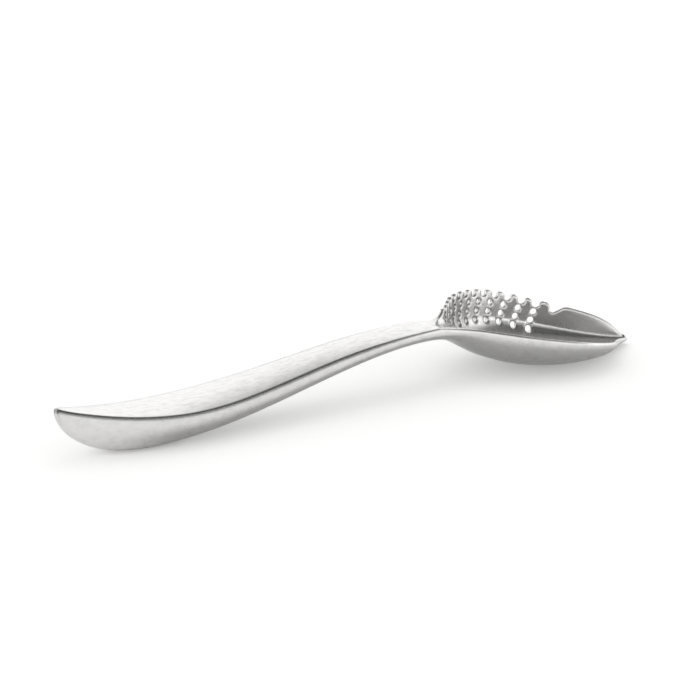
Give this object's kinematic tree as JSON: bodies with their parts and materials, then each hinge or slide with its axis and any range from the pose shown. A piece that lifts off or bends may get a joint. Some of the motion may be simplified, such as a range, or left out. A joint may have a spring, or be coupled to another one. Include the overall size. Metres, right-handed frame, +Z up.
{
  "type": "perforated pouring spoon",
  "caption": "Long-handled metal spoon whose pointed bowl has a raised wall on one side, pierced with rows of round holes and scalloped along its top.",
  "frame": {"origin": "bottom centre of the spoon's outer box, at rest on a table", "axes": "+X from the handle end to the bowl's tip, +Y towards the raised perforated wall, +Z up"},
  "size_m": [0.1994, 0.046, 0.0198],
  "materials": {
    "brushed_steel": "satin brushed stainless steel, finely scratched by use"
  },
  "bodies": {
    "root": {"spoon": "brushed_steel"}
  },
  "joints": []
}
